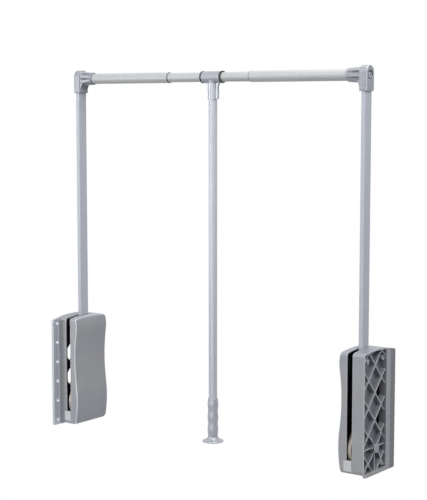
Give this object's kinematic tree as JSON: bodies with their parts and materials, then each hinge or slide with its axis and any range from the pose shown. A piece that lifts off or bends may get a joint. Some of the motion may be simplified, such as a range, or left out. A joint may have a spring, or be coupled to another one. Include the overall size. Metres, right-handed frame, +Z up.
{
  "type": "pull down closet rod",
  "caption": "Wardrobe lift: a telescoping hanging rod on two spring arms that swing out of wall housings, with a pull handle.",
  "frame": {"origin": "bottom centre of the whole fitting with its arms up", "axes": "+X along the hanging rod to the viewer's right, -Y out of the wardrobe towards the user, +Z up"},
  "size_m": [0.842, 0.149, 0.8425],
  "materials": {
    "housing_silver": "satin silver moulding",
    "closure_pale": "pale satin moulding",
    "arm_silver": "satin silver coating",
    "rod_aluminium": "satin anodised",
    "fitting_silver": "satin silver moulding",
    "ring_black": "matte black",
    "inner_plastic": "natural",
    "disc_steel": "passivated, slightly warm",
    "steel": "bright zinc"
  },
  "bodies": {
    "housing_left": {"left_wall_shell": "housing_silver", "left_cover": "housing_silver", "left_slot_closure": "closure_pale", "left_pivot_axle": "steel", "left_thrust_washers": "inner_plastic", "left_shell_screws": "steel"},
    "arm_left": {"left_torsion_spring": "steel", "left_hub_disc": "disc_steel", "left_pivot_bush": "inner_plastic", "left_arm_tube": "arm_silver", "left_arm_rivets": "steel", "left_elbow": "fitting_silver", "left_elbow_ring": "ring_black", "left_elbow_screw": "steel", "left_rod_plug": "inner_plastic", "left_outer_tube": "rod_aluminium"},
    "housing_right": {"right_wall_shell": "housing_silver", "right_cover": "housing_silver", "right_slot_closure": "closure_pale", "right_pivot_axle": "steel", "right_thrust_washers": "inner_plastic", "right_shell_screws": "steel"},
    "arm_right": {"right_torsion_spring": "steel", "right_hub_disc": "disc_steel", "right_pivot_bush": "inner_plastic", "right_arm_tube": "arm_silver", "right_arm_rivets": "steel", "right_elbow": "fitting_silver", "right_elbow_ring": "ring_black", "right_elbow_screw": "steel", "right_rod_plug": "inner_plastic", "right_outer_tube": "rod_aluminium"},
    "rod_centre": {"centre_tube": "rod_aluminium"},
    "handle": {"t_connector": "fitting_silver", "t_connector_rings": "ring_black", "handle_rod": "rod_aluminium", "handle_pin": "steel", "handle_grip": "fitting_silver"}
  },
  "joints": [
    {"name": "lift_swing", "type": "hinge", "parent": "housing_left", "child": "arm_left", "pos_m": [-0.387, 0, 0.055], "axis": [1, 0, 0], "range_deg": [0, 97], "stiffness_Nm_per_rad": 7, "springref_deg": -24.06},
    {"name": "left_telescope", "type": "slide", "parent": "arm_left", "child": "rod_centre", "axis": [1, 0, 0], "range_m": [-0.006, 0.154]},
    {"name": "right_telescope", "type": "slide", "parent": "rod_centre", "child": "arm_right", "axis": [1, 0, 0], "range_m": [-0.006, 0.154]},
    {"name": "right_pivot", "type": "hinge", "parent": "arm_right", "child": "housing_right", "pos_m": [0.387, 0, 0.055], "axis": [1, 0, 0], "range_deg": [-97, 0]},
    {"name": "handle_swing", "type": "hinge", "parent": "rod_centre", "child": "handle", "pos_m": [0, 0, 0.8225], "axis": [1, 0, 0], "continuous": true}
  ],
  "couplings": [
    {"joint": "right_pivot", "follows": "lift_swing", "ratio": -1}
  ]
}
